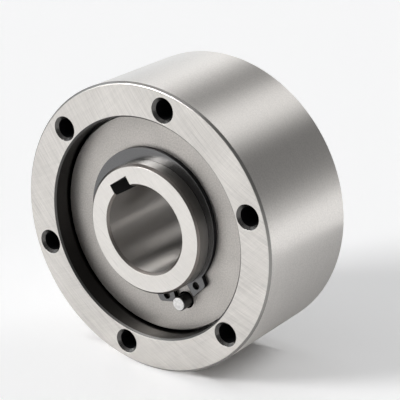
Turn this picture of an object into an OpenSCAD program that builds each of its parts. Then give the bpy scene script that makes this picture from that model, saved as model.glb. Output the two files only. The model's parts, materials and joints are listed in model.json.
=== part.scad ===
// Roller freewheel: an outer ring that turns one way only about a keyed inner ring.
// The shaft runs along Y, the front face looks towards -Y, and the origin is the middle
// of the freewheel. Angles are counted from +X towards +Z, as seen from the front.

/* [Inner ring] */
// Diameter of the shaft bore
bore_d = 30; // [25:0.5:40]
// Wall from the bore to the journal that carries the plates and circlips
hub_wall = 7.5; // [6.5:0.1:12]
// Chamfer at each mouth of the bore
bore_chamfer = 0.8; // [0.4:0.1:1.2]
// Chamfer on the ends of the journal
nose_chamfer = 0.8; // [0.4:0.1:1.2]
// Width of the keyway
key_w = 8; // [6:0.5:10]
// Depth of the keyway above the bore
key_depth = 3.3; // [2.5:0.1:3.8]
// Angle of the keyway
key_turn = 125.5; // [0:0.5:360]

/* [Outer ring] */
// Room between the journal and the rollers
journal_gap = 2.5; // [1.5:0.1:5]
// Width of the shoulder from the track to the wall of the recess
shoulder_w = 3.2; // [2.5:0.1:6]
// Width of the face from the wall of the recess to the rim
face_w = 11.8; // [10:0.1:16]
// Depth of the recess in each face
recess_depth = 10.1; // [8.5:0.1:16]
// Chamfer on the outside edges
rim_chamfer = 1; // [0.5:0.1:1.5]
// Small chamfer at both ends of the track that the rollers run on
track_chamfer = 0.3; // [0.2:0.1:0.6]
// Chamfer at the mouth of each recess
recess_chamfer = 0.9; // [0.5:0.1:1.4]

/* [Bolt holes] */
// Number of through holes
bolt_count = 6; // [3:1:8]
// Distance from the wall of the recess to the middle of the through holes
bolt_in = 5.3; // [4.7:0.1:6]
// Diameter of each through hole, for an M6 screw
bolt_hole_d = 6.6; // [5.5:0.1:7]
// Chamfer at each mouth of a through hole
bolt_chamfer = 1; // [0.3:0.1:1.2]
// Angle of the first through hole
bolt_turn = 19.3; // [0:0.1:60]

/* [Rollers and ramps] */
// Number of rollers
roller_count = 8; // [5:1:8]
// Diameter of a roller
roller_d = 10; // [9:0.25:10.5]
// Length of a roller
roller_l = 21; // [18:0.5:22]
// Chamfer on the ends of a roller
roller_chamfer = 0.5; // [0.2:0.1:0.8]
// Free play of a roller between a ramp and the track when it bites
roller_play = 0.03; // [0.02:0.01:0.1]
// Free play at each end of a roller
roller_end_play = 0.1; // [0.05:0.05:0.3]
// Angle from the middle of a ramp to the place where its roller bites
wedge_angle = 6; // [4:0.5:8]
// How far a roller moves back when it is let free
roller_travel = 1.2; // [0.8:0.1:1.6]
// Gap from a roller that bites to the tooth in front of it
heel_gap = 1; // [0.6:0.1:1.4]
// Gap from the tips of the teeth to the track
tooth_gap = 0.4; // [0.2:0.1:0.8]
// Radius of the relief groove in the corners of a ramp
relief_r = 0.5; // [0.3:0.1:0.7]

/* [Plungers and springs] */
// Diameter of a plunger
plunger_d = 3.4; // [3:0.1:3.8]
// Length of the plunger's head
plunger_l = 4.4; // [3.8:0.1:5]
// Diameter of the stem inside the spring
stem_d = 1.8; // [1.2:0.1:2]
// Length of the stem inside the spring
stem_l = 1.4; // [0.8:0.1:1.8]
// Clearance round a plunger in its pocket
plunger_fit = 0.1; // [0.05:0.05:0.2]
// Gap between a plunger and its roller
plunger_touch = 0.02; // [0.01:0.01:0.1]
// How far a plunger still stands out when its roller is fully back
plunger_reserve = 1.2; // [0.8:0.1:1.6]
// How far the plunger sits below the middle of its roller
plunger_drop = 0.5; // [0:0.1:0.8]
// Depth of the spring pocket in a tooth
pocket_depth = 7.2; // [6.8:0.1:8]
// Thickness of the spring wire
wire_d = 0.4; // [0.3:0.05:0.45]
// Number of turns in a spring
spring_turns = 6; // [4:0.5:7]

/* [Plates] */
// Thickness of a plate at its rim
plate_rim_t = 3; // [2.5:0.1:3.5]
// Height of the shoulder that centres a plate in the track
pilot_h = 1.4; // [1:0.1:2]
// Running clearance between that shoulder and the track
pilot_fit = 0.05; // [0.03:0.01:0.1]
// Gap between the rim of a plate and the recess
plate_gap = 0.45; // [0.3:0.05:0.6]
// Side play of the outer ring between the plates
ring_end_play = 0.1; // [0.05:0.05:0.3]
// Clearance between a plate and the journal
journal_fit = 0.05; // [0.02:0.01:0.1]
// Chamfer on the rim of a plate
plate_chamfer = 0.4; // [0.2:0.1:0.8]

/* [Pins] */
// Diameter of a locating pin
pin_d = 5; // [4:0.5:5.5]
// Length of a locating pin
pin_l = 14; // [13:0.5:15]
// How far a pin stands out of its plate
pin_proud = 4.4; // [3.5:0.1:5]
// Distance from the journal to the middle of a pin
pin_out = 4.7; // [4.2:0.1:5.2]
// Angle of the pins
pin_turn = -63.6; // [-180:0.1:180]
// Chamfer on the ends of a pin
pin_chamfer = 0.3; // [0.2:0.1:0.6]
// Clearance round a pin in its holes
pin_fit = 0.03; // [0.02:0.01:0.1]
// Chamfer at the mouth of the pin hole in a plate
pin_hole_chamfer = 0.5; // [0.3:0.1:0.8]

/* [Circlips] */
// Thickness of a circlip
clip_t = 1.75; // [1.5:0.05:2]
// Depth of the groove in the journal
groove_depth = 1.25; // [1:0.05:1.5]
// Side play of a circlip in its groove
groove_play = 0.1; // [0.05:0.05:0.2]
// Clearance between a circlip and the bottom of its groove
clip_fit = 0.05; // [0.02:0.01:0.1]
// Width of the circlip opposite its gap
clip_wide = 5.4; // [4.5:0.1:6]
// Width of the circlip next to its lugs
clip_narrow = 2.4; // [2:0.1:3]
// Angle that a circlip can turn each way before a lug meets the pin
clip_play_angle = 3.2; // [2:0.1:5]
// Angle left between the pin and the nearer lug
lug_gap_angle = 0.8; // [0.6:0.1:2]
// Reach of a lug from the bore of the circlip
lug_reach = 5.4; // [5:0.1:6]
// Width of a lug on the side of the gap, twice the distance from its hole
lug_w = 6.6; // [6:0.1:7.5]
// Distance from the hole in a lug to its corner on the far side
lug_far = 3.2; // [2.1:0.1:3.5]
// Distance from the bore of the circlip to the hole in a lug
lug_hole_out = 3.2; // [2.9:0.1:3.4]
// Diameter of the hole in a lug
lug_hole_d = 2.7; // [2:0.1:2.8]

/* [Hidden] */
$fn = 96;
eps = 0.01;

// Levels along the shaft, counted from the middle
star_half = roller_l / 2 + roller_end_play;
rim_back = star_half + pilot_h;
plate_front = rim_back + plate_rim_t;
recess_floor = rim_back - ring_end_play;
plate_t = pilot_h + plate_rim_t;
groove_w = clip_t + groove_play;
pin_top = plate_front + pin_proud;
half_width = recess_floor + recess_depth;
pin_sink = pin_l - pin_proud - plate_t;

// Radii, from the bore outwards
bore_r = bore_d / 2;
journal_r = bore_r + hub_wall;
groove_r = journal_r - groove_depth;
roller_r = roller_d / 2;
track_r = journal_r + journal_gap + roller_d;
star_r = track_r - tooth_gap;
recess_r = track_r + shoulder_w;
bolt_circle_r = recess_r + bolt_in;
outer_r = recess_r + face_w;
pin_r = pin_d / 2;
pin_place = journal_r + pin_out;

// Each ramp is drawn with its middle on +X, and its roller bites on the +Y side
roller_place = track_r - roller_r - roller_play / 2;
roller_x = roller_place * cos(wedge_angle);
roller_y = roller_place * sin(wedge_angle);
ramp_x = roller_x - roller_r - roller_play / 2;
heel_y = roller_y + roller_r + heel_gap;
toe_y = roller_y - roller_r - roller_travel - plunger_reserve;
plunger_x = roller_x - plunger_drop;
plunger_tip_y = roller_y - roller_r - plunger_touch;
plunger_back_y = plunger_tip_y - plunger_l;
pocket_r = plunger_d / 2 + plunger_fit;
pocket_end_y = toe_y - pocket_depth;

// The pins stand in the middle of a tooth, which places the whole star
tooth_from = asin(heel_y / pin_place);
tooth_to = 360 / roller_count + asin(toe_y / pin_place);
star_turn = pin_turn - (tooth_from + tooth_to) / 2;

// Circlip
clip_bore_r = groove_r + clip_fit;
clip_outer_r = clip_bore_r + (clip_wide + clip_narrow) / 2;
clip_shift = (clip_wide - clip_narrow) / 2;
gap_angle = asin(pin_r / pin_place) + clip_play_angle;
clip_turn = pin_turn + clip_play_angle - lug_gap_angle;
lug_hole_place = clip_bore_r + lug_hole_out;
lug_angle = gap_angle + asin(lug_w / 2 / lug_hole_place);

// Springs
spring_d = plunger_d - 2 * plunger_fit;
spring_l = plunger_back_y - pocket_end_y;
spring_rest_gap = 0.02;
wire_sides = 6;
wire_steps = 12;
closed_turns = 1;

// Turns a shape drawn with its axis along Z so that the shaft lies along Y
module on_shaft() {
    rotate([90, 0, 0]) children();
}

// The same, on the rear face
module on_shaft_rear() {
    on_shaft() mirror([0, 0, 1]) children();
}

// Puts a shape drawn for the first ramp at ramp number i
module at_ramp(i) {
    on_shaft() rotate([0, 0, star_turn + (i - 1) * 360 / roller_count]) children();
}

// A round bar with chamfered ends, standing on z = 0
module chamfered_bar(r, h, c) {
    rotate_extrude() polygon([[0, 0], [r - c, 0], [r, c], [r, h - c], [r - c, h], [0, h]]);
}

// Outer ring

// Half of the section of the ring, from the middle to the front face
function ring_half() = [
    [track_r, recess_floor - track_chamfer],
    [track_r + track_chamfer, recess_floor],
    [recess_r, recess_floor],
    [recess_r, half_width - recess_chamfer],
    [recess_r + recess_chamfer, half_width],
    [outer_r - rim_chamfer, half_width],
    [outer_r, half_width - rim_chamfer]
];

function flipped(points) = [for (i = [len(points) - 1:-1:0]) [points[i][0], -points[i][1]]];

// A through hole with a chamfer at both mouths
module bolt_hole() {
    bolt_r = bolt_hole_d / 2;
    cylinder(r = bolt_r, h = 2 * half_width + 2, center = true);
    for (side = [0, 1]) mirror([0, 0, side])
        translate([0, 0, half_width - bolt_chamfer])
            cylinder(r1 = bolt_r, r2 = bolt_r + bolt_chamfer + eps, h = bolt_chamfer + eps);
}

module outer_ring() {
    color("silver") on_shaft() difference() {
        rotate_extrude() polygon(concat(ring_half(), flipped(ring_half())));
        for (i = [0:bolt_count - 1])
            rotate([0, 0, bolt_turn + i * 360 / bolt_count])
                translate([bolt_circle_r, 0, 0]) bolt_hole();
    }
}

// Inner ring

// Half of the section of the journal, from the star to the nose
function journal_half() = [
    [journal_r, plate_front],
    [groove_r, plate_front],
    [groove_r, plate_front + groove_w],
    [journal_r, plate_front + groove_w],
    [journal_r, half_width - nose_chamfer],
    [journal_r - nose_chamfer, half_width],
    [bore_r + bore_chamfer, half_width],
    [bore_r, half_width - bore_chamfer]
];

// The room that one roller and its plunger need, cut into the star
module ramp_outline() {
    polygon([[ramp_x, toe_y], [track_r + 1, toe_y], [track_r + 1, heel_y], [ramp_x, heel_y]]);
    for (y = [toe_y, heel_y]) translate([ramp_x, y]) circle(r = relief_r, $fn = 32);
}

module star() {
    linear_extrude(2 * star_half, center = true) difference() {
        circle(r = star_r);
        circle(r = (bore_r + ramp_x) / 2);
        for (i = [1:roller_count]) rotate((i - 1) * 360 / roller_count) ramp_outline();
    }
}

module spring_pocket() {
    translate([plunger_x, toe_y + 1, 0]) rotate([90, 0, 0])
        cylinder(r = pocket_r, h = pocket_depth + 1);
}

// A blind hole with a drilled point, its mouth on the end of the star
module pin_seat() {
    seat_r = pin_r + pin_fit;
    translate([pin_place, 0, star_half - pin_sink - pin_fit]) {
        cylinder(r = seat_r, h = pin_sink + 1);
        translate([0, 0, -seat_r * tan(31)]) cylinder(r1 = 0, r2 = seat_r, h = seat_r * tan(31));
    }
}

module keyway() {
    translate([0, -key_w / 2, -half_width - 1])
        cube([bore_r + key_depth, key_w, 2 * half_width + 2]);
}

module inner_ring() {
    color("gainsboro") on_shaft() difference() {
        union() {
            rotate_extrude() polygon(concat(journal_half(), flipped(journal_half())));
            rotate([0, 0, star_turn]) star();
        }
        rotate([0, 0, key_turn]) keyway();
        rotate([0, 0, star_turn]) for (i = [1:roller_count])
            rotate([0, 0, (i - 1) * 360 / roller_count]) spring_pocket();
        rotate([0, 0, pin_turn]) for (side = [0, 1]) mirror([0, 0, side]) pin_seat();
    }
}

// Plates

// A turned disc whose inner shoulder runs in the track and bears on the end of the star
module plate() {
    rim_r = recess_r - plate_gap;
    hole_r = pin_r + pin_fit;
    difference() {
        rotate_extrude() polygon([
            [journal_r + journal_fit, star_half],
            [track_r - pilot_fit, star_half],
            [track_r - pilot_fit, rim_back],
            [rim_r, rim_back],
            [rim_r, plate_front - plate_chamfer],
            [rim_r - plate_chamfer, plate_front],
            [journal_r + journal_fit, plate_front]
        ]);
        rotate([0, 0, pin_turn]) translate([pin_place, 0, 0]) {
            translate([0, 0, star_half - 1]) cylinder(r = hole_r, h = plate_t + 2);
            translate([0, 0, plate_front - pin_hole_chamfer])
                cylinder(r1 = hole_r, r2 = hole_r + pin_hole_chamfer + eps,
                         h = pin_hole_chamfer + eps);
        }
    }
}

module front_plate() {
    color("darkgray") on_shaft() plate();
}

module rear_plate() {
    color("darkgray") on_shaft_rear() plate();
}

// Pins

module pin() {
    rotate([0, 0, pin_turn]) translate([pin_place, 0, pin_top - pin_l])
        chamfered_bar(pin_r, pin_l, pin_chamfer);
}

module front_pin() {
    color("whitesmoke") on_shaft() pin();
}

module rear_pin() {
    color("whitesmoke") on_shaft_rear() pin();
}

// Circlips

// Unit vector from a towards b
function towards(a, b) = (b - a) / norm(b - a);

// Arc of radius r that rounds the corner q between its neighbours p and s
function corner_arc(p, q, s, r, steps = 5) =
    let (
        u = towards(q, p),
        v = towards(q, s),
        half = acos(u * v) / 2,
        centre = q + (u + v) / norm(u + v) * r / sin(half),
        from = q + u * r / tan(half) - centre,
        to = q + v * r / tan(half) - centre,
        turn = 180 - 2 * half,
        way = sign(from[0] * to[1] - from[1] * to[0])
    )
    [for (k = [0:steps]) let (a = way * turn * k / steps)
        centre + [from[0] * cos(a) - from[1] * sin(a), from[0] * sin(a) + from[1] * cos(a)]];

// A lug, drawn with its hole on +X; side is 1 or -1 and says on which side the gap isn't
module lug_outline(side) {
    root = clip_bore_r - 1;
    tip = clip_bore_r + lug_reach;
    gap_y = -lug_w / 2 - 1;
    slant = 2.2;
    rounding = 1.2;
    gap_corner = [tip, gap_y];
    far_corner = [tip, lug_far];
    flank = [root, lug_far + slant];
    points = concat(
        [[root, gap_y], gap_corner],
        corner_arc(gap_corner, far_corner, flank, rounding),
        [flank]
    );
    polygon([for (p = points) [p[0], side * p[1]]]);
}

// The wedge that is missing from the ring of a circlip
module gap_outline() {
    reach = 2 * clip_outer_r;
    polygon([[0, 0], [reach, -reach * tan(gap_angle)], [reach, reach * tan(gap_angle)]]);
}

// Widest opposite the gap, with a lug at each side of it
module circlip() {
    translate([0, 0, plate_front]) rotate([0, 0, clip_turn]) difference() {
        union() {
            translate([-clip_shift, 0, 0]) cylinder(r = clip_outer_r, h = clip_t);
            for (side = [-1, 1]) rotate([0, 0, side * lug_angle])
                linear_extrude(clip_t) lug_outline(side);
        }
        translate([0, 0, -1]) {
            cylinder(r = clip_bore_r, h = clip_t + 2);
            linear_extrude(clip_t + 2) gap_outline();
            for (side = [-1, 1]) rotate([0, 0, side * lug_angle])
                translate([lug_hole_place, 0, 0]) cylinder(r = lug_hole_d / 2, h = clip_t + 2);
        }
    }
}

module front_circlip() {
    color("dimgray") on_shaft() circlip();
}

module rear_circlip() {
    color("dimgray") on_shaft_rear() circlip();
}

// Rollers, plungers and springs

module roller(i) {
    color("lightsteelblue") at_ramp(i) translate([roller_x, roller_y, -roller_l / 2])
        chamfered_bar(roller_r, roller_l, roller_chamfer);
}

// A head that pushes the roller, and a stem that keeps the spring straight
module plunger(i) {
    head_r = plunger_d / 2;
    edge = 0.3;
    color("goldenrod") at_ramp(i) translate([plunger_x, plunger_tip_y, 0]) rotate([90, 0, 0])
        rotate_extrude() polygon([
            [0, 0],
            [head_r - edge, 0],
            [head_r, edge],
            [head_r, plunger_l],
            [stem_d / 2, plunger_l],
            [stem_d / 2, plunger_l + stem_l],
            [0, plunger_l + stem_l]
        ]);
}

// Height of the wire's middle after t turns, with closed turns at both ends
function coil_height(t) =
    let (
        dead = wire_d * 1.1,
        open_turns = spring_turns - 2 * closed_turns,
        free = spring_l - 2 * spring_rest_gap - wire_d - 2 * closed_turns * dead,
        pitch = free / open_turns
    )
    t < closed_turns ? t * dead
        : t > spring_turns - closed_turns
            ? closed_turns * dead + free + (t - spring_turns + closed_turns) * dead
            : closed_turns * dead + (t - closed_turns) * pitch;

// Ring of points round the wire after t turns
function wire_ring(t) =
    let (coil_r = (spring_d - wire_d) / 2, a = 360 * t)
    [for (k = [0:wire_sides - 1]) let (
            b = 360 * k / wire_sides,
            r = coil_r + wire_d / 2 * cos(b)
        )
        [r * cos(a), r * sin(a), coil_height(t) + wire_d / 2 * sin(b)]];

module coil() {
    rings = floor(spring_turns * wire_steps) + 1;
    points = [for (j = [0:rings - 1]) each wire_ring(j / wire_steps)];
    sides = [for (j = [0:rings - 2], k = [0:wire_sides - 1]) let (
            a = j * wire_sides + k,
            b = j * wire_sides + (k + 1) % wire_sides
        )
        [a, a + wire_sides, b + wire_sides, b]];
    start = [for (k = [0:wire_sides - 1]) k];
    end = [for (k = [wire_sides - 1:-1:0]) (rings - 1) * wire_sides + k];
    polyhedron(points, concat(sides, [start], [end]), convexity = 10);
}

module spring(i) {
    color("slategray") at_ramp(i)
        translate([plunger_x, pocket_end_y + spring_rest_gap + wire_d / 2, 0])
            rotate([-90, 0, 0]) coil();
}

outer_ring();
inner_ring();
front_plate();
rear_plate();
front_circlip();
rear_circlip();
front_pin();
rear_pin();
for (i = [1:roller_count]) {
    roller(i);
    plunger(i);
    spring(i);
}
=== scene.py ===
import json
import math

import bmesh
import bpy
from mathutils import Matrix, Vector


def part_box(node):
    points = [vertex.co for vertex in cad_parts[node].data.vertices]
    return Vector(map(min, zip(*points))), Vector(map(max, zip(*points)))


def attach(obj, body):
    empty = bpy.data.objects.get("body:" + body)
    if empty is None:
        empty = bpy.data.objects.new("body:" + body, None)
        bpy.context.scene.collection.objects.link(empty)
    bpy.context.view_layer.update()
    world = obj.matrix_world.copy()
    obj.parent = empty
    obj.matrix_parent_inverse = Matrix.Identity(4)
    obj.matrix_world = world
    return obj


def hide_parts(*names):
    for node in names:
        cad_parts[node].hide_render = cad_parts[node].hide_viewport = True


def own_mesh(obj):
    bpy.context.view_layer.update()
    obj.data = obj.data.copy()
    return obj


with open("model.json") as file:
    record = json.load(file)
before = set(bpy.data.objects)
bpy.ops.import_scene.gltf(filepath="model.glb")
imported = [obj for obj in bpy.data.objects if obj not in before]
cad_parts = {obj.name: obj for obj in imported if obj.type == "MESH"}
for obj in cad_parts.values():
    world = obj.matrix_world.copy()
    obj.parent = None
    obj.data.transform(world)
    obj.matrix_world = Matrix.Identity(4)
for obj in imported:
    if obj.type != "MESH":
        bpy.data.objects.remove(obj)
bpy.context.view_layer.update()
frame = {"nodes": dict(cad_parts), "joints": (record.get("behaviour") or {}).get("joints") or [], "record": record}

record = frame["record"]
joints = {joint["name"]: joint for joint in frame["joints"]}
mounts = {mount["name"]: mount for mount in record["mounts"]}
scene = bpy.context.scene
millimetre = 0.001
tau = 2 * math.pi


# Small helpers for node trees

# A node with its settings, and with values or links on its inputs
def put(tree, kind, values=None, **settings):
    node = tree.nodes.new(kind)
    for name, value in settings.items():
        setattr(node, name, value)
    for name, value in (values or {}).items():
        if isinstance(value, bpy.types.NodeSocket):
            tree.links.new(value, node.inputs[name])
        else:
            node.inputs[name].default_value = value
    return node


def calc(tree, operation, first, second=0.0, third=0.0, clamp=False):
    node = put(tree, "ShaderNodeMath", {0: first, 1: second, 2: third}, operation=operation)
    node.use_clamp = clamp
    return node.outputs[0]


def remap(tree, value, fromLow, fromHigh, toLow=0.0, toHigh=1.0, smooth=False):
    kind = "SMOOTHSTEP" if smooth else "LINEAR"
    node = put(tree, "ShaderNodeMapRange", {0: value, 1: fromLow, 2: fromHigh, 3: toLow, 4: toHigh},
               interpolation_type=kind)
    return node.outputs[0]


def blendColour(tree, factor, first, second):
    node = put(tree, "ShaderNodeMix", data_type="RGBA")
    for index, value in ((0, factor), (6, first), (7, second)):
        if isinstance(value, bpy.types.NodeSocket):
            tree.links.new(value, node.inputs[index])
        else:
            node.inputs[index].default_value = value
    return node.outputs[2]


# An empty shader group with its sockets; inputs are name, kind and default
def shaderGroup(name, inputs, outputs):
    tree = bpy.data.node_groups.new(name, "ShaderNodeTree")
    for label, kind, default in inputs:
        socket = tree.interface.new_socket(label, in_out="INPUT", socket_type=kind)
        if default is not None:
            socket.default_value = default
    for label in outputs:
        tree.interface.new_socket(label, in_out="OUTPUT", socket_type="NodeSocketFloat")
    return tree, tree.nodes.new("NodeGroupInput"), tree.nodes.new("NodeGroupOutput")


def useGroup(tree, group, values):
    node = tree.nodes.new("ShaderNodeGroup")
    node.node_tree = group
    for name, value in values.items():
        if isinstance(value, bpy.types.NodeSocket):
            tree.links.new(value, node.inputs[name])
        else:
            node.inputs[name].default_value = value
    return node


# Shared effects: grinding arcs, turning lines, grain and specks

# Fine lines on arcs round a far centre, as a face grinder leaves them
def makeGrindingArcs():
    tree, source, sink = shaderGroup("GrindingArcs", [
        ("Vector", "NodeSocketVector", None),
        ("Centre X", "NodeSocketFloat", 0.085),
        ("Centre Z", "NodeSocketFloat", 0.110),
        ("Line Width", "NodeSocketFloat", 0.0003),
        ("Line Length", "NodeSocketFloat", 0.01),
    ], ["Lines", "Scratches"])
    place = put(tree, "ShaderNodeSeparateXYZ", {0: source.outputs["Vector"]})
    across = calc(tree, "SUBTRACT", place.outputs[0], source.outputs["Centre X"])
    upwards = calc(tree, "SUBTRACT", place.outputs[2], source.outputs["Centre Z"])
    squares = calc(tree, "ADD", calc(tree, "MULTIPLY", across, across),
                   calc(tree, "MULTIPLY", upwards, upwards))
    radius = calc(tree, "SQRT", squares)
    along = calc(tree, "MULTIPLY", calc(tree, "ARCTAN2", upwards, across), radius)
    u = calc(tree, "DIVIDE", radius, source.outputs["Line Width"])
    v = calc(tree, "DIVIDE", along, source.outputs["Line Length"])
    flat = put(tree, "ShaderNodeCombineXYZ", {0: u, 1: v, 2: place.outputs[1]}).outputs[0]
    fine = put(tree, "ShaderNodeTexNoise", {"Vector": flat, "Scale": 1.0, "Detail": 3.0, "Roughness": 0.7})
    wide = put(tree, "ShaderNodeVectorMath", {0: flat, 1: (0.31, 0.55, 1.0)}, operation="MULTIPLY")
    coarse = put(tree, "ShaderNodeTexNoise",
                 {"Vector": wide.outputs[0], "Scale": 1.0, "Detail": 2.0, "Roughness": 0.6})
    both = calc(tree, "ADD", calc(tree, "MULTIPLY", fine.outputs[0], 0.6),
                calc(tree, "MULTIPLY", coarse.outputs[0], 0.4))
    tree.links.new(remap(tree, both, 0.3, 0.7), sink.inputs["Lines"])
    tree.links.new(remap(tree, coarse.outputs[0], 0.62, 0.72, smooth=True), sink.inputs["Scratches"])
    return tree


# Fine lines round the shaft axis, as turning or cylindrical grinding leaves them
def makeTurningLines():
    tree, source, sink = shaderGroup("TurningLines", [
        ("Vector", "NodeSocketVector", None),
        ("Pitch", "NodeSocketFloat", 0.0002),
    ], ["Lines", "Bands"])
    place = put(tree, "ShaderNodeSeparateXYZ", {0: source.outputs["Vector"]})
    squares = calc(tree, "ADD", calc(tree, "MULTIPLY", place.outputs[0], place.outputs[0]),
                   calc(tree, "MULTIPLY", place.outputs[2], place.outputs[2]))
    radius = calc(tree, "SQRT", squares)
    angle = calc(tree, "ARCTAN2", place.outputs[2], place.outputs[0])
    u = calc(tree, "DIVIDE", calc(tree, "ADD", radius, place.outputs[1]), source.outputs["Pitch"])
    v = calc(tree, "COSINE", angle)
    w = calc(tree, "SINE", angle)
    flat = put(tree, "ShaderNodeCombineXYZ", {0: u, 1: v, 2: w}).outputs[0]
    fine = put(tree, "ShaderNodeTexNoise", {"Vector": flat, "Scale": 1.0, "Detail": 3.0, "Roughness": 0.7})
    wide = put(tree, "ShaderNodeVectorMath", {0: flat, 1: (0.12, 1.0, 1.0)}, operation="MULTIPLY")
    bands = put(tree, "ShaderNodeTexNoise", {"Vector": wide.outputs[0], "Scale": 1.0, "Detail": 2.0})
    tree.links.new(remap(tree, fine.outputs[0], 0.3, 0.7), sink.inputs["Lines"])
    tree.links.new(remap(tree, bands.outputs[0], 0.35, 0.65), sink.inputs["Bands"])
    return tree


# Fine grain and slow clouds, in real sizes
def makeMetalGrain():
    tree, source, sink = shaderGroup("MetalGrain", [
        ("Vector", "NodeSocketVector", None),
        ("Grain Size", "NodeSocketFloat", 0.0004),
        ("Cloud Size", "NodeSocketFloat", 0.012),
    ], ["Grain", "Clouds"])
    grainScale = calc(tree, "DIVIDE", 1.0, source.outputs["Grain Size"])
    cloudScale = calc(tree, "DIVIDE", 1.0, source.outputs["Cloud Size"])
    vector = source.outputs["Vector"]
    grain = put(tree, "ShaderNodeTexNoise", {"Vector": vector, "Scale": grainScale, "Detail": 2.5,
                                             "Roughness": 0.65})
    clouds = put(tree, "ShaderNodeTexNoise", {"Vector": vector, "Scale": cloudScale, "Detail": 3.0,
                                              "Roughness": 0.5, "Distortion": 0.4})
    tree.links.new(remap(tree, grain.outputs[0], 0.37, 0.63), sink.inputs["Grain"])
    tree.links.new(remap(tree, clouds.outputs[0], 0.3, 0.7), sink.inputs["Clouds"])
    return tree


# Scattered small marks, such as dust and tiny pits
def makeSpecks():
    tree, source, sink = shaderGroup("Specks", [
        ("Vector", "NodeSocketVector", None),
        ("Spacing", "NodeSocketFloat", 0.003),
        ("Size", "NodeSocketFloat", 0.08),
    ], ["Specks"])
    cells = put(tree, "ShaderNodeTexVoronoi", {
        "Vector": source.outputs["Vector"],
        "Scale": calc(tree, "DIVIDE", 1.0, source.outputs["Spacing"]),
    })
    size = calc(tree, "MULTIPLY", source.outputs["Size"],
                put(tree, "ShaderNodeSeparateColor", {0: cells.outputs["Color"]}).outputs[0])
    mark = calc(tree, "LESS_THAN", cells.outputs["Distance"], size)
    tree.links.new(mark, sink.inputs["Specks"])
    return tree


grindingArcs = makeGrindingArcs()
turningLines = makeTurningLines()
metalGrain = makeMetalGrain()
specks = makeSpecks()
print("shared shader groups made")


# Materials

lineDepth = 0.000005                     # depths of the finest relief, in metres
arcDepth = 0.00001
grainDepth = 0.00003


# A material under construction: its tree, its shader and its Object coordinates
class Finish:

    def __init__(self, name, roughness, anisotropy=0.0, metallic=1.0, edgeTint=1.0):
        self.material = bpy.data.materials.new(name)
        self.material.use_nodes = True
        self.tree = self.material.node_tree
        self.shader = self.tree.nodes["Principled BSDF"]
        self.shader.inputs["Metallic"].default_value = metallic
        self.shader.inputs["Roughness"].default_value = roughness
        self.shader.inputs["Anisotropic"].default_value = anisotropy
        self.shader.inputs["Specular Tint"].default_value = (edgeTint, edgeTint, edgeTint, 1.0)
        self.vector = put(self.tree, "ShaderNodeTexCoord").outputs["Object"]
        if anisotropy:
            tangent = put(self.tree, "ShaderNodeTangent", direction_type="RADIAL", axis="Y")
            self.tree.links.new(tangent.outputs[0], self.shader.inputs["Tangent"])
            self.shader.inputs["Anisotropic Rotation"].default_value = 0.25

    def link(self, output, name):
        self.tree.links.new(output, self.shader.inputs[name])

    def bump(self, height, strength, distance):
        node = put(self.tree, "ShaderNodeBump",
                   {"Height": height, "Strength": strength, "Distance": distance})
        self.link(node.outputs[0], "Normal")


def shade(colour, factor):
    return (colour[0] * factor, colour[1] * factor, colour[2] * factor, 1.0)


groundFaceLook = {"colour": (0.67, 0.645, 0.613), "roughness": 0.33, "lineWidth": 0.0003,
                  "lineLength": 0.012, "contrast": 0.30}
noseFaceLook = {"colour": (0.76, 0.735, 0.70), "roughness": 0.36, "lineWidth": 0.00035,
                "lineLength": 0.008, "contrast": 0.12}
satinRimLook = {"colour": (0.80, 0.773, 0.74), "roughness": 0.28, "roughnessRange": 0.02,
                "anisotropy": 1.0, "pitch": 0.00035, "grainSize": 0.0005, "contrast": 0.09, "bump": 0.06}


def makeGroundFace(name, look):
    finish = Finish(name, look["roughness"])
    tree, vector = finish.tree, finish.vector
    main = useGroup(tree, grindingArcs, {"Vector": vector, "Line Width": look["lineWidth"],
                                         "Line Length": look["lineLength"]})
    cross = useGroup(tree, grindingArcs, {"Vector": vector, "Centre X": -0.12, "Centre Z": 0.16,
                                          "Line Width": look["lineWidth"] * 1.3,
                                          "Line Length": look["lineLength"]})
    grain = useGroup(tree, metalGrain, {"Vector": vector, "Grain Size": 0.0003, "Cloud Size": 0.02})
    lines = calc(tree, "ADD", calc(tree, "MULTIPLY", main.outputs["Lines"], 0.75),
                 calc(tree, "MULTIPLY", cross.outputs["Lines"], 0.25))
    mixed = calc(tree, "ADD", calc(tree, "MULTIPLY", lines, 0.8),
                 calc(tree, "MULTIPLY", grain.outputs["Clouds"], 0.2))
    contrast = look["contrast"]
    base = blendColour(tree, mixed, shade(look["colour"], 1 - contrast), shade(look["colour"], 1 + contrast))
    marked = blendColour(tree, calc(tree, "MULTIPLY", main.outputs["Scratches"], 0.35), base,
                         shade(look["colour"], 0.72))
    finish.link(marked, "Base Color")
    finish.link(remap(tree, lines, 0.0, 1.0, look["roughness"] - 0.05, look["roughness"] + 0.07), "Roughness")
    finish.bump(lines, 0.35, arcDepth)
    return finish.material


def makeSatinRim(name, look):
    finish = Finish(name, look["roughness"], anisotropy=look["anisotropy"])
    tree, vector = finish.tree, finish.vector
    lines = useGroup(tree, turningLines, {"Vector": vector, "Pitch": look["pitch"]})
    grain = useGroup(tree, metalGrain, {"Vector": vector, "Grain Size": look["grainSize"],
                                        "Cloud Size": 0.02})
    mixed = calc(tree, "ADD", calc(tree, "MULTIPLY", grain.outputs["Grain"], 0.65),
                 calc(tree, "MULTIPLY", lines.outputs["Lines"], 0.35))
    contrast = look["contrast"]
    base = blendColour(tree, mixed, shade(look["colour"], 1 - contrast), shade(look["colour"], 1 + contrast))
    finish.link(base, "Base Color")
    finish.link(remap(tree, mixed, 0.0, 1.0, look["roughness"], look["roughness"] + look["roughnessRange"]),
                "Roughness")
    finish.bump(lines.outputs["Lines"], look["bump"], lineDepth)
    return finish.material


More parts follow.
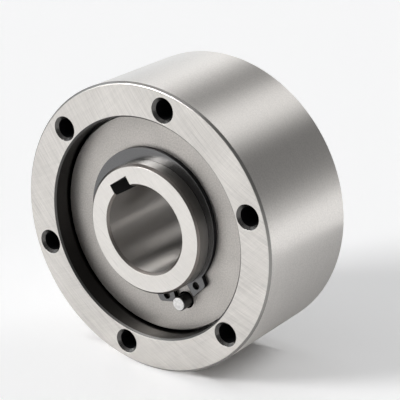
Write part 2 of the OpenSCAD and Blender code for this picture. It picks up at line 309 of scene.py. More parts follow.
# Turned or cylindrically ground steel, with its lines round the shaft axis
def makeTurnedSteel(name, colour, roughness, anisotropy, pitch=0.00025, contrast=0.05, bump=0.2,
                    edgeTint=1.0):
    finish = Finish(name, roughness, anisotropy=anisotropy, edgeTint=edgeTint)
    tree, vector = finish.tree, finish.vector
    lines = useGroup(tree, turningLines, {"Vector": vector, "Pitch": pitch})
    grain = useGroup(tree, metalGrain, {"Vector": vector, "Grain Size": 0.0004, "Cloud Size": 0.01})
    mixed = calc(tree, "ADD", calc(tree, "MULTIPLY", lines.outputs["Lines"], 0.6),
                 calc(tree, "MULTIPLY", grain.outputs["Clouds"], 0.4))
    base = blendColour(tree, mixed, shade(colour, 1 - contrast), shade(colour, 1 + contrast))
    finish.link(base, "Base Color")
    finish.link(remap(tree, mixed, 0.0, 1.0, roughness * 0.85, roughness * 1.2), "Roughness")
    finish.bump(lines.outputs["Lines"], bump, lineDepth)
    return finish.material


# Blasted, blackened or sawn steel, with grain all over and a few specks
def makeGrainySteel(name, colour, roughness, grainSize, contrast, bump, speckTone=1.5, edgeTint=1.0):
    finish = Finish(name, roughness, edgeTint=edgeTint)
    tree, vector = finish.tree, finish.vector
    grain = useGroup(tree, metalGrain, {"Vector": vector, "Grain Size": grainSize, "Cloud Size": 0.012})
    marks = useGroup(tree, specks, {"Vector": vector, "Spacing": 0.0035, "Size": 0.055})
    mixed = calc(tree, "ADD", calc(tree, "MULTIPLY", grain.outputs["Grain"], 0.7),
                 calc(tree, "MULTIPLY", grain.outputs["Clouds"], 0.3))
    base = blendColour(tree, mixed, shade(colour, 1 - contrast), shade(colour, 1 + contrast))
    marked = blendColour(tree, calc(tree, "MULTIPLY", marks.outputs[0], 0.6), base, shade(colour, speckTone))
    finish.link(marked, "Base Color")
    finish.link(remap(tree, grain.outputs["Grain"], 0.0, 1.0, roughness - 0.06, roughness + 0.06),
                "Roughness")
    finish.bump(grain.outputs["Grain"], bump, grainDepth)
    return finish.material


groundFace = makeGroundFace("GroundFace", groundFaceLook)
noseFace = makeGroundFace("NoseFace", noseFaceLook)
satinRim = makeSatinRim("SatinRim", satinRimLook)
holeChamfer = makeTurnedSteel("HoleChamfer", (0.12, 0.117, 0.113), 0.25, 0.0)
mouthSteel = makeTurnedSteel("RecessMouth", (0.11, 0.108, 0.105), 0.4, 0.6)
rimChamfer = makeTurnedSteel("RimChamfer", (0.30, 0.292, 0.28), 0.33, 0.5)
recessWall = makeTurnedSteel("RecessWall", (0.04, 0.039, 0.038), 0.22, 0.3, edgeTint=0.55)
trackSteel = makeTurnedSteel("TrackSteel", (0.62, 0.62, 0.62), 0.12, 0.3)
journalSteel = makeTurnedSteel("JournalSteel", (0.37, 0.355, 0.336), 0.30, 1.0)
boreSteel = makeTurnedSteel("BoreSteel", (0.42, 0.40, 0.38), 0.36, 1.0, pitch=0.0004)
noseChamferSteel = makeTurnedSteel("NoseChamfer", (0.20, 0.18, 0.165), 0.3, 0.2)
drilledSteel = makeGrainySteel("DrilledSteel", (0.05, 0.05, 0.055), 0.5, 0.0005, 0.3, 0.2)
keywaySteel = makeGrainySteel("KeywaySteel", (0.09, 0.09, 0.092), 0.6, 0.0004, 0.25, 0.2, speckTone=2.2)
starSteel = makeGrainySteel("StarSteel", (0.5, 0.5, 0.5), 0.3, 0.0005, 0.06, 0.1)
matPlate = makeGrainySteel("MatPlate", (0.49, 0.466, 0.44), 0.40, 0.0005, 0.19, 0.12)
blackSpringSteel = makeGrainySteel("BlackSpringSteel", (0.16, 0.16, 0.162), 0.2, 0.0003, 0.12, 0.06)
stampedEdge = makeGrainySteel("StampedEdge", (0.03, 0.03, 0.031), 0.35, 0.0003, 0.3, 0.2, edgeTint=0.4)
pinEnd = makeGrainySteel("PinEnd", (0.74, 0.73, 0.72), 0.4, 0.0009, 0.16, 0.3, speckTone=0.7)
pinSide = makeTurnedSteel("PinSide", (0.10, 0.10, 0.10), 0.3, 0.0)
rollerSteel = makeTurnedSteel("RollerSteel", (0.68, 0.68, 0.69), 0.12, 0.0, bump=0.05)
plungerSteel = makeTurnedSteel("PlungerSteel", (0.55, 0.53, 0.50), 0.25, 0.0, bump=0.1)
springWire = makeGrainySteel("SpringWire", (0.45, 0.45, 0.47), 0.25, 0.0002, 0.06, 0.05)
print("materials made")


# Mesh helpers

mergeGap = 1e-7                          # points closer than this are one
flatAngle = math.radians(0.3)            # faces of a CAD mesh that meet flatter than this are one face
edgeAngle = math.radians(25)             # edges sharper than this may be broken
sharpAngle = math.radians(32)            # edges sharper than this stay sharp in the shading
cornerSteps = 3                          # pieces in the rounding of an outline's corner
bevelSteps = 2                           # and of a broken edge


# Points (r, y) of an outline whose corners are (r, y, rounding)
def roundedOutline(corners, closed=True):
    points = []
    count = len(corners)
    for index, (r, y, rounding) in enumerate(corners):
        here = Vector((r, y))
        atEnd = not closed and index in (0, count - 1)
        if rounding <= 0 or atEnd:
            points.append(here)
            continue
        back = (Vector(corners[index - 1][:2]) - here).normalized()
        ahead = (Vector(corners[(index + 1) % count][:2]) - here).normalized()
        half = back.angle(ahead) / 2
        centre = here + (back + ahead).normalized() * rounding / math.sin(half)
        start = here + back * rounding / math.tan(half) - centre
        turn = math.pi - 2 * half
        way = 1 if start.cross(here + ahead * rounding / math.tan(half) - centre) > 0 else -1
        for step in range(cornerSteps + 1):
            angle = way * turn * step / cornerSteps
            c, s = math.cos(angle), math.sin(angle)
            points.append(centre + Vector((start.x * c - start.y * s, start.x * s + start.y * c)))
    return points


def newObject(name, data):
    item = bpy.data.objects.new(name, data)
    scene.collection.objects.link(item)
    return item


# A solid of revolution about Y; pick(radius, axial) gives a face's material from its distance to
# the axis and the share of its normal that lies along the axis, and the first material is the default
def turned(name, outline, materials, pick=None, segments=256, closed=True):
    shape = bmesh.new()
    rings = []
    for point in outline:
        if point[0] < mergeGap:
            rings.append([shape.verts.new((0, point[1], 0))])
            continue
        rings.append([shape.verts.new((point[0] * math.cos(tau * k / segments), point[1],
                                       point[0] * math.sin(tau * k / segments))) for k in range(segments)])
    pairs = list(zip(rings, rings[1:] + rings[:1])) if closed else list(zip(rings, rings[1:]))
    for first, second in pairs:
        for k in range(segments):
            n = (k + 1) % segments
            loop = [first[k % len(first)], first[n % len(first)], second[n % len(second)],
                    second[k % len(second)]]
            corners = list(dict.fromkeys(loop))
            if len(corners) > 2:
                shape.faces.new(corners)
    bmesh.ops.recalc_face_normals(shape, faces=shape.faces)
    for face in shape.faces:
        face.smooth = True
        if pick:
            middle = face.calc_center_median()
            face.material_index = materials.index(pick(math.hypot(middle.x, middle.z), abs(face.normal.y)))
    mesh = bpy.data.meshes.new(name)
    shape.to_mesh(mesh)
    shape.free()
    for material in materials:
        mesh.materials.append(material)
    return newObject(name, mesh)


# Turns the object, with its modifiers, into a plain mesh
def settle(item):
    depsgraph = bpy.context.evaluated_depsgraph_get()
    mesh = bpy.data.meshes.new_from_object(item.evaluated_get(depsgraph), preserve_all_data_layers=True,
                                           depsgraph=depsgraph)
    item.modifiers.clear()
    item.data = mesh
    return item


# Cuts one solid out of another and keeps the cutter's material on the cut
def carve(item, cutter):
    cut = item.modifiers.new("cut", "BOOLEAN")
    cut.object = cutter
    cut.operation = "DIFFERENCE"
    cut.solver = "EXACT"
    cut.material_mode = "TRANSFER"
    settle(item)
    bpy.data.objects.remove(cutter)
    return item


# Smooth shading that leaves flat faces flat
def evenNormals(item):
    for polygon in item.data.polygons:
        polygon.use_smooth = True
    item.data.set_sharp_from_angle(angle=sharpAngle)
    weighted = item.modifiers.new("normals", "WEIGHTED_NORMAL")
    weighted.keep_sharp = True
    weighted.weight = 80
    return settle(item)


def finishPiece(item, body, slotName, *nodes):
    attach(item, body)
    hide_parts(*nodes)
    return item


# Outer ring

low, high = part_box("outer_ring")
outerRing = {
    "radius": high.x,
    "half": high.y,
    "rimChamfer": 0.75 * millimetre,
    "trackRadius": 35.0 * millimetre,
    "trackChamfer": 0.3 * millimetre,
    "recessRadius": 38.2 * millimetre,
    "recessFloor": 11.9 * millimetre,
    "recessChamfer": 0.6 * millimetre,
    "rounding": 0.12 * millimetre,
    "softCorner": 0.6 * millimetre,
    "holeCount": mounts["bolt_circle"]["dims"]["count"],
    "holeCircle": mounts["bolt_circle"]["dims"]["pcd_mm"] / 2 * millimetre,
    "holeRadius": mounts["bolt_circle"]["dims"]["hole_r_mm"] * millimetre,
    "holeChamfer": 1.0 * millimetre,
    "holeEdge": 0.25 * millimetre,
    "firstHole": 19.3,                    # degrees from +X towards +Z
    "flat": 0.95,                         # shares of a normal along the shaft, for picking materials
    "nearlyFlat": 0.9,
    "steep": 0.3,
    "rimSteep": 0.25,
}


# Geometry Nodes tree: one drill, copied round the bolt circle
def makeDrillPattern(material):
    tree = bpy.data.node_groups.new("DrillPattern", "GeometryNodeTree")
    tree.interface.new_socket("Geometry", in_out="INPUT", socket_type="NodeSocketGeometry")
    sockets = {}
    for label, kind in (("Holes", "NodeSocketInt"), ("Circle Radius", "NodeSocketFloat"),
                        ("First Angle", "NodeSocketFloat")):
        sockets[label] = tree.interface.new_socket(label, in_out="INPUT", socket_type=kind).identifier
    tree.interface.new_socket("Geometry", in_out="OUTPUT", socket_type="NodeSocketGeometry")
    source, sink = tree.nodes.new("NodeGroupInput"), tree.nodes.new("NodeGroupOutput")
    places = put(tree, "GeometryNodeMeshCircle", {"Vertices": source.outputs["Holes"],
                                                  "Radius": source.outputs["Circle Radius"]})
    turn = put(tree, "ShaderNodeCombineXYZ", {0: math.pi / 2, 1: source.outputs["First Angle"], 2: 0.0})
    standing = put(tree, "GeometryNodeTransform", {"Geometry": places.outputs[0],
                                                   "Rotation": turn.outputs[0]})
    drills = put(tree, "GeometryNodeInstanceOnPoints", {"Points": standing.outputs[0],
                                                        "Instance": source.outputs["Geometry"]})
    real = put(tree, "GeometryNodeRealizeInstances", {"Geometry": drills.outputs[0]})
    painted = put(tree, "GeometryNodeSetMaterial", {"Geometry": real.outputs[0], "Material": material})
    tree.links.new(painted.outputs[0], sink.inputs[0])
    return tree, sockets


def makeOuterRing():
    size = outerRing
    tiny = size["rounding"]
    front = [
        (size["trackRadius"], size["recessFloor"] - size["trackChamfer"], 0),
        (size["trackRadius"] + size["trackChamfer"], size["recessFloor"], 0),
        (size["recessRadius"], size["recessFloor"], tiny),
        (size["recessRadius"], size["half"] - size["recessChamfer"], tiny),
        (size["recessRadius"] + size["recessChamfer"], size["half"], tiny),
        (size["radius"] - size["rimChamfer"], size["half"], size["softCorner"]),
        (size["radius"], size["half"] - size["rimChamfer"], tiny),
    ]
    corners = front + [(r, -y, rounding) for r, y, rounding in reversed(front)]

    def pick(radius, axial):
        if radius < size["trackRadius"] + tiny:
            return trackSteel
        if radius < size["recessRadius"] + size["recessChamfer"] and axial < size["flat"]:
            return recessWall if axial < size["steep"] else mouthSteel
        if axial > size["nearlyFlat"]:
            return groundFace
        return rimChamfer if axial > size["rimSteep"] else satinRim

    ring = turned("OuterRing", roundedOutline(corners),
                  [groundFace, satinRim, recessWall, trackSteel, rimChamfer, holeChamfer, mouthSteel],
                  pick, segments=288)
    reach = size["half"] + millimetre                # the drill sticks out by a millimetre
    flare = size["holeRadius"] + size["holeChamfer"] + millimetre
    mouth = size["half"] - size["holeChamfer"]
    drill = turned("Drill", [Vector(p) for p in (
        (0, -reach), (flare, -reach), (size["holeRadius"], -mouth), (size["holeRadius"], mouth),
        (flare, reach), (0, reach))], [drilledSteel], segments=48, closed=False)
    tree, sockets = makeDrillPattern(drilledSteel)
    pattern = drill.modifiers.new("pattern", "NODES")
    pattern.node_group = tree
    pattern[sockets["Holes"]] = size["holeCount"]
    pattern[sockets["Circle Radius"]] = size["holeCircle"]
    pattern[sockets["First Angle"]] = -math.radians(size["firstHole"])
    settle(drill)
    carve(ring, drill)
    shape = bmesh.new()
    shape.from_mesh(ring.data)
    skins = list(ring.data.materials)
    chamfers = set()
    for face in shape.faces:                         # the chamfer of a hole is clean metal
        onDrill = face.material_index == skins.index(drilledSteel)
        if onDrill and size["steep"] < abs(face.normal.y) < size["flat"]:
            face.material_index = skins.index(holeChamfer)
            chamfers.add(face)
    mouths = [edge for edge in shape.edges if len(edge.link_faces) == 2
              and sum(face in chamfers for face in edge.link_faces) == 1
              and max(abs(face.normal.y) for face in edge.link_faces) > size["flat"]]
    bmesh.ops.bevel(shape, geom=mouths, offset=size["holeEdge"], offset_type="OFFSET", segments=3,
                    profile=0.5, affect="EDGES", clamp_overlap=True)
    shape.to_mesh(ring.data)
    shape.free()
    evenNormals(ring)
    return finishPiece(ring, "outer", "ground_ring", "outer_ring")


makeOuterRing()
print("outer ring made")


# Plates

plate = {
    "journal": 22.55 * millimetre,
    "pilot": 34.95 * millimetre,
    "rimBack": 12.0 * millimetre,
    "chamfer": 0.4 * millimetre,
    "rounding": 0.1 * millimetre,
    "pinChamfer": 0.5 * millimetre,
    "pinPlay": 0.03 * millimetre,
    "flat": 0.5,                          # faces flatter than this are blasted, the others are dark
}


def makePlate(name, node, pinNode, side):
    low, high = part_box(node)
    rim = high.x
    inside, outside = sorted((abs(low.y), abs(high.y)))
    tiny = plate["rounding"]
    corners = [(r, side * y, rounding) for r, y, rounding in (
        (plate["journal"], inside, tiny),
        (plate["pilot"], inside, tiny),
        (plate["pilot"], plate["rimBack"], 0),
        (rim, plate["rimBack"], tiny),
        (rim, outside - plate["chamfer"], tiny),
        (rim - plate["chamfer"], outside, tiny),
        (plate["journal"], outside, tiny),
    )]
    disc = turned(name, roundedOutline(corners), [matPlate, recessWall],
                  lambda radius, axial: matPlate if axial > plate["flat"] else recessWall)
    pinLow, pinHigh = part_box(pinNode)
    middle = (pinLow + pinHigh) / 2
    hole = (pinHigh.x - pinLow.x) / 2 + plate["pinPlay"]
    wide = hole + plate["pinChamfer"]
    reamer = turned("Reamer", [Vector(p) for p in (
        (0, 0), (hole, 0), (hole, side * (outside - plate["pinChamfer"])),
        (wide + millimetre, side * (outside + millimetre)), (0, side * (outside + millimetre)))],
        [recessWall], segments=48, closed=False)
    reamer.data.transform(Matrix.Translation((middle.x, 0, middle.z)))
    carve(disc, reamer)
    evenNormals(disc)
    return finishPiece(disc, "inner", "matt_plate", node)


makePlate("FrontPlate", "front_plate", "front_pin", -1)
makePlate("RearPlate", "rear_plate", "rear_pin", 1)
print("plates made")


# Pins

pin = {"chamfer": 0.3 * millimetre, "rounding": 0.08 * millimetre, "flat": 0.9}


def makePin(name, node):
    low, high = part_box(node)
    radius = (high.x - low.x) / 2
    middle = (low + high) / 2
    c, t = pin["chamfer"], pin["rounding"]
    outline = roundedOutline([(0, low.y, 0), (radius - c, low.y, t), (radius, low.y + c, t),
                              (radius, high.y - c, t), (radius - c, high.y, t), (0, high.y, 0)], closed=False)
    item = turned(name, outline, [pinEnd, pinSide],
                  lambda r, axial: pinEnd if axial > pin["flat"] else pinSide, segments=64, closed=False)
    item.data.transform(Matrix.Translation((middle.x, 0, middle.z)))
    evenNormals(item)
    return finishPiece(item, "inner", "bright_pin", node)


makePin("FrontPin", "front_pin")
makePin("RearPin", "rear_pin")
print("pins made")


# Circlips and inner ring: the CAD shape with its edges broken

# A copy of a CAD node with the picked sharp edges rounded
def brokenEdges(name, node, width, pickEdge):
    shape = bmesh.new()
    shape.from_mesh(frame["nodes"][node].data)
    bmesh.ops.remove_doubles(shape, verts=shape.verts, dist=mergeGap)
    bmesh.ops.dissolve_limit(shape, angle_limit=flatAngle, verts=shape.verts, edges=shape.edges)
    edges = [e for e in shape.edges if len(e.link_faces) == 2 and e.calc_face_angle() > edgeAngle
             and pickEdge(e)]
    bmesh.ops.bevel(shape, geom=edges, offset=width, offset_type="OFFSET", segments=bevelSteps,
                    profile=0.5, affect="EDGES", clamp_overlap=True)
    mesh = bpy.data.meshes.new(name)
    shape.to_mesh(mesh)
    shape.free()
    return newObject(name, mesh)


circlip = {"edge": 0.09 * millimetre, "steep": 0.3}


def makeCirclip(name, node):
    item = brokenEdges(name, node, circlip["edge"], lambda e: True)
    skins = [blackSpringSteel, stampedEdge]
    for skin in skins:
        item.data.materials.append(skin)
    for polygon in item.data.polygons:
        skin = blackSpringSteel if abs(polygon.normal.y) > circlip["steep"] else stampedEdge
        polygon.material_index = skins.index(skin)
    evenNormals(item)
    return finishPiece(item, "inner", "dark_spring_steel", node)


makeCirclip("FrontCirclip", "front_circlip")
makeCirclip("RearCirclip", "rear_circlip")
print("circlips made")

innerRing = {
    "edge": 0.08 * millimetre,
    "bore": 15.0 * millimetre,
    "journal": 22.5 * millimetre,
    "grooveDepth": 2.1 * millimetre,
    "starHalf": 10.6 * millimetre,
    "half": abs(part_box("inner_ring")[0].y),
    "noseBand": 1.0 * millimetre,         # the chamfers of the nose lie in this band
    "slack": 0.1 * millimetre,
    "flat": 0.95,                         # shares of a normal along the shaft and away from it
    "sloping": 0.2,
    "round": 0.9,
    "outwards": 0.5,
}


def makeInnerRing():
    size = innerRing

    def onNose(edge):
        return all(abs(v.co.y) > size["half"] - size["noseBand"] - size["slack"] * 2 for v in edge.verts)

    item = brokenEdges("InnerRing", "inner_ring", size["edge"], onNose)
    mesh = item.data
    skins = [noseFace, journalSteel, boreSteel, keywaySteel, starSteel, noseChamferSteel]
    for skin in skins:
        mesh.materials.append(skin)
    for polygon in mesh.polygons:
        middle, outward = polygon.center, polygon.normal
        radius = math.hypot(middle.x, middle.z)
        radial = (outward.x * middle.x + outward.z * middle.z) / radius
        axial = abs(outward.y)
        farthest = max(math.hypot(mesh.vertices[v].co.x, mesh.vertices[v].co.z) for v in polygon.vertices)
        depth = size["half"] - abs(middle.y)
        onStar = abs(middle.y) < size["starHalf"] and radial > size["outwards"]
        if axial > size["flat"] and depth < size["slack"] * 2:
            skin = noseFace
        elif axial > size["sloping"] and depth < size["noseBand"]:
            skin = noseChamferSteel
        elif farthest > size["journal"] + size["slack"] or onStar:
            skin = starSteel
        elif radius > size["journal"] - size["grooveDepth"] and radial > size["round"]:
            skin = journalSteel
        elif farthest < size["bore"] + size["slack"] and radial < -size["round"]:
            skin = boreSteel
        elif axial > size["flat"]:
            skin = journalSteel
        else:
            skin = keywaySteel
        polygon.material_index = skins.index(skin)
    evenNormals(item)
    return finishPiece(item, "inner", "ground_hub", "inner_ring")


makeInnerRing()
print("inner ring made")


# Rollers, plungers and springs

roller = {"chamfer": 0.5 * millimetre, "rounding": 0.12 * millimetre}
plunger = {
    "headLength": 4.4 * millimetre,
    "stemLength": 1.4 * millimetre,
    "headRadius": 1.7 * millimetre,
    "stemRadius": 0.9 * millimetre,
    "edge": 0.3 * millimetre,
    "rounding": 0.15 * millimetre,
    "drop": 0.5 * millimetre,             # its line runs this far inside the roller's centre
    "touch": 0.02 * millimetre,
}
spring = {
    "turns": 6.0,
    "closedTurns": 1.0,
    "closedPitch": 1.1,                   # in wire thicknesses
    "wireRadius": 0.2 * millimetre,
    "coilRadius": 1.4 * millimetre,
    "length": 5.14 * millimetre,
    "gap": 0.02 * millimetre,
    "travel": 1.2 * millimetre,
}


# The roller's centre, the plunger's way back and the way outwards, for one ramp
def rampPlace(number):
    centre = Vector(joints[f"roll_{number}"]["pos_m"])
    back = Vector(joints[f"release_{number}"]["axis"]).normalized()
    outward = Vector((0, 1, 0)).cross(back)
    if outward.dot(centre) < 0:
        outward = -outward
    return centre, back, outward


def makeRoller(number):
    low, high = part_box(f"roller_{number}")
    centre = (low + high) / 2
    radius, half = (high.x - low.x) / 2, (high.y - low.y) / 2
    c, t = roller["chamfer"], roller["rounding"]
    outline = roundedOutline([(0, -half, 0), (radius - c, -half, t), (radius, -half + c, t),
                              (radius, half - c, t), (radius - c, half, t), (0, half, 0)], closed=False)
    item = turned(f"Roller{number}", outline, [rollerSteel], segments=96, closed=False)
    item.data.transform(Matrix.Translation(centre))
    evenNormals(item)
    return finishPiece(item, f"roller_{number}", "polished_roller", f"roller_{number}")


# Matrix that lays a shape drawn along +Y on the plunger's line, a distance behind the roller
def alongRamp(number, distance):
    centre, back, outward = rampPlace(number)
    low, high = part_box(f"roller_{number}")
    start = centre - outward * plunger["drop"] + back * ((high.x - low.x) / 2 + distance)
    side = back.cross(outward)
    turn = Matrix((outward, back, -side)).transposed().to_4x4()
    return Matrix.Translation(start) @ turn


def makePlunger(number):
    head, stem = plunger["headLength"], plunger["stemLength"]
    wide, narrow = plunger["headRadius"], plunger["stemRadius"]
    edge, soft = plunger["edge"], plunger["rounding"]
    outline = roundedOutline([
        (0, 0, 0), (wide - edge, 0, soft), (wide, edge, soft), (wide, head, soft / 3),
        (narrow, head, 0), (narrow, head + stem, soft / 2), (0, head + stem, 0)], closed=False)
    item = turned(f"Plunger{number}", outline, [plungerSteel], segments=64, closed=False)
    item.data.transform(alongRamp(number, plunger["touch"]))
    evenNormals(item)
    return finishPiece(item, f"plunger_{number}", "plunger_steel", f"plunger_{number}")


# Geometry Nodes tree: a compression spring along +Y with closed ends
def makeCoilTree():
    tree = bpy.data.node_groups.new("CompressionSpring", "GeometryNodeTree")
    tree.interface.new_socket("Geometry", in_out="INPUT", socket_type="NodeSocketGeometry")
    sockets = {}
    for label in ("Turns", "Closed Turns", "Coil Radius", "Wire Radius", "Closed Pitch", "Length"):
        socket = tree.interface.new_socket(label, in_out="INPUT", socket_type="NodeSocketFloat")
        sockets[label] = socket.identifier
    tree.interface.new_socket("Geometry", in_out="OUTPUT", socket_type="NodeSocketGeometry")
    source, sink = tree.nodes.new("NodeGroupInput"), tree.nodes.new("NodeGroupOutput")
    turns, closedTurns, pitch = (source.outputs[n] for n in ("Turns", "Closed Turns", "Closed Pitch"))
    coilRadius = source.outputs["Coil Radius"]
    spiral = put(tree, "GeometryNodeCurveSpiral", {"Resolution": 32, "Rotations": turns, "Height": 0.0,
                                                   "Start Radius": coilRadius, "End Radius": coilRadius})
    factor = put(tree, "GeometryNodeSplineParameter").outputs["Factor"]
    turn = calc(tree, "MULTIPLY", factor, turns)
    wire = calc(tree, "MULTIPLY", source.outputs["Wire Radius"], 2.0)
    dead = calc(tree, "MULTIPLY", wire, pitch)
    free = calc(tree, "SUBTRACT", calc(tree, "SUBTRACT", source.outputs["Length"], wire),
                calc(tree, "MULTIPLY", calc(tree, "MULTIPLY", dead, closedTurns), 2.0))
    startPart = calc(tree, "MULTIPLY", calc(tree, "MINIMUM", turn, closedTurns), dead)
    lastTurn = calc(tree, "SUBTRACT", turns, closedTurns)
    endPart = calc(tree, "MULTIPLY", calc(tree, "MAXIMUM", calc(tree, "SUBTRACT", turn, lastTurn), 0.0), dead)
    openTurns = calc(tree, "SUBTRACT", lastTurn, closedTurns)
    openShare = calc(tree, "DIVIDE", calc(tree, "SUBTRACT", turn, closedTurns), openTurns, clamp=True)
    height = calc(tree, "ADD", calc(tree, "ADD", startPart, endPart), calc(tree, "MULTIPLY", openShare, free))
    height = calc(tree, "ADD", height, source.outputs["Wire Radius"])
    place = put(tree, "ShaderNodeSeparateXYZ", {0: put(tree, "GeometryNodeInputPosition").outputs[0]})
    moved = put(tree, "ShaderNodeCombineXYZ", {0: place.outputs[0], 1: height, 2: place.outputs[1]})
    shaped = put(tree, "GeometryNodeSetPosition", {"Geometry": spiral.outputs[0],
                                                   "Position": moved.outputs[0]})
    section = put(tree, "GeometryNodeCurvePrimitiveCircle", {"Resolution": 12,
                                                             "Radius": source.outputs["Wire Radius"]})
    body = put(tree, "GeometryNodeCurveToMesh", {"Curve": shaped.outputs[0], "Fill Caps": True,
                                                 "Profile Curve": section.outputs[0]})
    smooth = put(tree, "GeometryNodeSetShadeSmooth", {"Geometry": body.outputs[0]})
    real = put(tree, "GeometryNodeRealizeInstances", {"Geometry": smooth.outputs[0]})
    painted = put(tree, "GeometryNodeSetMaterial", {"Geometry": real.outputs[0], "Material": springWire})
    tree.links.new(painted.outputs[0], sink.inputs[0])
    return tree, sockets


coilTree, coilSockets = makeCoilTree()
coilInputs = {"Turns": "turns", "Closed Turns": "closedTurns", "Coil Radius": "coilRadius",
              "Wire Radius": "wireRadius", "Closed Pitch": "closedPitch", "Length": "length"}


def makeSpring(number):
    item = newObject(f"Spring{number}", bpy.data.meshes.new(f"Spring{number}"))
    coil = item.modifiers.new("coil", "NODES")
    coil.node_group = coilTree
    for label, setting in coilInputs.items():
        coil[coilSockets[label]] = spring[setting]
    settle(item)
    behind = plunger["touch"] + plunger["headLength"] + spring["gap"]
    place = alongRamp(number, behind)
    item.data.transform(place)
    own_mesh(item)
    return finishPiece(item, "inner", "spring_wire", f"spring_{number}")


rollerCount = sum(name.startswith("roller_") for name in frame["nodes"])
for number in range(1, rollerCount + 1):
    makeRoller(number)
    makePlunger(number)
    makeSpring(number)
print("rollers, plungers and springs made")


# Studio: floor, world and camera

# Places and distances on the floor are in metres, and each pair fades from its first value to its second
floorSettings = {
    "half": 0.7,
    "below": 0.00002,                     # it lies this far under the ring
    "colour": (0.90, 0.90, 0.905),
    "roughness": 0.75,
    "specular": 0.2,
    "glow": 0.235,
    # The contact entries set a painted contact shadow, seen by the camera
    "contactShadeSide": (0.019, 0.037),        # from the shaft's line to either side
    "contactShadeEnd": (0.0135, 0.0175),       # from the patch's middle towards its ends
    "contactShadeMiddle": -0.001,
    # The shadow and behind entries paint shade and light into the floor as mirrors see it
    "shadow": (0.05, 0.06, -0.05),        # the middle of the deep shadow
    "shadowFade": (0.094, 0.106),
    "paintedLightBehindFade": (0.04, 0.09),
    "paintedLightBehindGlow": 1.45,
}


# The floor takes the object's shadow. Camera and mirrors see a glow on it, and less of it in painted deep shade.
def makeFloor():
    look = floorSettings
    level = -outerRing["radius"] - look["below"]
    r = look["half"]
    mesh = bpy.data.meshes.new("Floor")
    mesh.from_pydata([(-r, -r, level), (r, -r, level), (r, r, level), (-r, r, level)], [], [(0, 1, 2, 3)])
    floor = newObject("Floor", mesh)
    finish = Finish("PaleFloor", look["roughness"], metallic=0.0)
    tree = finish.tree
    finish.shader.inputs["Specular IOR Level"].default_value = look["specular"]
    finish.shader.inputs["Base Color"].default_value = (*look["colour"], 1)
    rays = put(tree, "ShaderNodeLightPath")
    place = put(tree, "ShaderNodeSeparateXYZ", {0: finish.vector})

    # Painted contact shadow: the camera sees less glow on a patch close to the line on which the ring stands
    sideways = calc(tree, "ABSOLUTE", place.outputs[0])
    lengthways = calc(tree, "ABSOLUTE", calc(tree, "SUBTRACT", place.outputs[1], look["contactShadeMiddle"]))
    clear = calc(tree, "MAXIMUM", remap(tree, sideways, *look["contactShadeSide"], smooth=True),
                 remap(tree, lengthways, *look["contactShadeEnd"], smooth=True))
    seen = calc(tree, "MULTIPLY", rays.outputs["Is Camera Ray"], clear)

    # Painted shade and light for mirrors: no glow in the deep shadow, and a painted brighter glow behind the
    # object
    gap = put(tree, "ShaderNodeVectorMath", {0: finish.vector, 1: look["shadow"]}, operation="DISTANCE")
    lit = remap(tree, gap.outputs["Value"], *look["shadowFade"], smooth=True)
    behind = remap(tree, place.outputs[1], *look["paintedLightBehindFade"], 1.0, look["paintedLightBehindGlow"], smooth=True)
    mirrored = calc(tree, "MULTIPLY", rays.outputs["Is Glossy Ray"], calc(tree, "MULTIPLY", lit, behind))
    strength = calc(tree, "MULTIPLY", calc(tree, "MAXIMUM", seen, mirrored), look["glow"])
    glow = put(tree, "ShaderNodeEmission", {"Strength": strength})
    mix = put(tree, "ShaderNodeAddShader", {0: finish.shader.outputs[0], 1: glow.outputs[0]})
    tree.links.new(mix.outputs[0], tree.nodes["Material Output"].inputs["Surface"])
    mesh.materials.append(finish.material)


neutral, cool = (1.0, 1.0, 1.0), (0.95, 1.0, 1.05)


# Azimuth runs from +X towards +Y in degrees; half sizes and softness are tangents
def softbox(azimuth, elevation, width, height, soft, light, tint=neutral):
    return {"azimuth": azimuth, "elevation": elevation, "width": width, "height": height, "soft": soft,
            "light": light, "tint": tint}


softboxes = {
    "key": softbox(232.5, 26.5, 0.15, 0.12, 0.06, 33.0),
    "overhead": softbox(200, 85, 0.45, 0.45, 0.25, 0.66),
    "back": softbox(79, 38, 0.20, 0.18, 0.14, 1.8),
    "backLeft": softbox(122, 27, 0.12, 0.12, 0.10, 0.98),
    "leftWall": softbox(130, 8, 0.24, 0.18, 0.10, 0.93, cool),
    "left": softbox(195, 20, 0.26, 0.26, 0.12, 1.18, cool),
}
worldSettings = {"base": 0.215, "seen": 0.92, "horizon": 0.6, "horizonFrom": -0.11, "horizonTo": 0.21}


def makeSoftboxGroup():
    tree, source, sink = shaderGroup("Softbox", [
        ("Direction", "NodeSocketVector", None), ("Centre", "NodeSocketVector", None),
        ("Side", "NodeSocketVector", None), ("Up", "NodeSocketVector", None),
        ("Half Width", "NodeSocketFloat", 0.3), ("Half Height", "NodeSocketFloat", 0.3),
        ("Soft", "NodeSocketFloat", 0.1), ("Light", "NodeSocketFloat", 1.0),
    ], ["Light"])
    direction = source.outputs["Direction"]
    dots = [put(tree, "ShaderNodeVectorMath", {0: direction, 1: source.outputs[n]},
                operation="DOT_PRODUCT").outputs["Value"] for n in ("Centre", "Side", "Up")]
    facing = calc(tree, "MAXIMUM", dots[0], 0.0001)
    soft = source.outputs["Soft"]
    masks = []
    for dot, half in ((dots[1], "Half Width"), (dots[2], "Half Height")):
        offset = calc(tree, "ABSOLUTE", calc(tree, "DIVIDE", dot, facing))
        outer = calc(tree, "ADD", source.outputs[half], soft)
        inner = calc(tree, "SUBTRACT", source.outputs[half], soft)
        masks.append(remap(tree, offset, outer, inner, smooth=True))
    mask = calc(tree, "MULTIPLY", masks[0], masks[1])
    ahead = calc(tree, "GREATER_THAN", dots[0], 0.0)
    light = calc(tree, "MULTIPLY", calc(tree, "MULTIPLY", mask, ahead), source.outputs["Light"])
    tree.links.new(light, sink.inputs["Light"])
    return tree


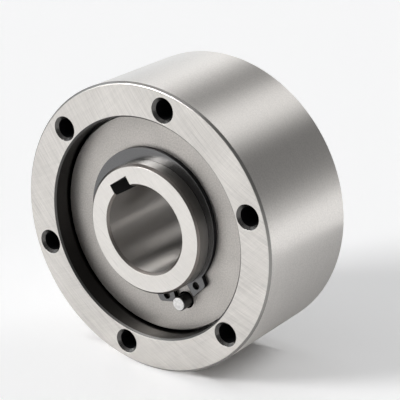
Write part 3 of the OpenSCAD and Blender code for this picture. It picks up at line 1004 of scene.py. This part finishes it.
def makeWorld():
    world = bpy.data.worlds.new("Studio")
    scene.world = world
    world.use_nodes = True
    tree = world.node_tree
    tree.nodes.clear()
    direction = put(tree, "ShaderNodeTexCoord").outputs["Generated"]
    group = makeSoftboxGroup()
    height = put(tree, "ShaderNodeSeparateXYZ", {0: direction}).outputs[2]
    low = remap(tree, height, worldSettings["horizonTo"], worldSettings["horizonFrom"])
    glow = calc(tree, "MULTIPLY_ADD", low, worldSettings["horizon"], worldSettings["base"])
    total = put(tree, "ShaderNodeCombineXYZ", {0: glow, 1: glow, 2: glow}).outputs[0]
    for box in softboxes.values():
        a, e = math.radians(box["azimuth"]), math.radians(box["elevation"])
        centre = Vector((math.cos(a) * math.cos(e), math.sin(a) * math.cos(e), math.sin(e)))
        side = Vector((-math.sin(a), math.cos(a), 0))
        node = useGroup(tree, group, {
            "Direction": direction, "Centre": centre, "Side": side, "Up": centre.cross(side),
            "Half Width": box["width"], "Half Height": box["height"], "Soft": box["soft"],
            "Light": box["light"]})
        tinted = put(tree, "ShaderNodeVectorMath", {0: box["tint"], "Scale": node.outputs[0]},
                     operation="SCALE")
        total = put(tree, "ShaderNodeVectorMath", {0: tinted.outputs[0], 1: total},
                    operation="ADD").outputs[0]
    seen = put(tree, "ShaderNodeLightPath").outputs["Is Camera Ray"]
    strength = blendColour(tree, seen, total, (worldSettings["seen"],) * 3 + (1,))
    background = put(tree, "ShaderNodeBackground", {"Color": strength, "Strength": 1.0})
    out = put(tree, "ShaderNodeOutputWorld", {0: background.outputs[0]})
    out.is_active_output = True


# Azimuth from the front face's normal towards +X, lengths in metres, lens and sensor in millimetres
cameraSettings = {"azimuth": 36.23, "elevation": 21.58, "target": (0.01267, -0.00811, 0.00915),
                  "distance": 0.5162, "lens": 141.87, "sensor": 36, "nearest": 0.01, "farthest": 50}


def makeCamera():
    view = cameraSettings
    azimuth, elevation = math.radians(view["azimuth"]), math.radians(view["elevation"])
    back = Vector((math.sin(azimuth) * math.cos(elevation), -math.cos(azimuth) * math.cos(elevation),
                   math.sin(elevation)))
    data = bpy.data.cameras.new("Camera")
    data.sensor_width = view["sensor"]
    data.lens = view["lens"]
    data.clip_start, data.clip_end = view["nearest"], view["farthest"]
    camera = newObject("Camera", data)
    camera.location = Vector(view["target"]) + back * view["distance"]
    camera.rotation_euler = (-back).to_track_quat("-Z", "Y").to_euler()
    scene.camera = camera


makeFloor()
makeWorld()
makeCamera()
scene.view_settings.view_transform = "Standard"
print("studio made")
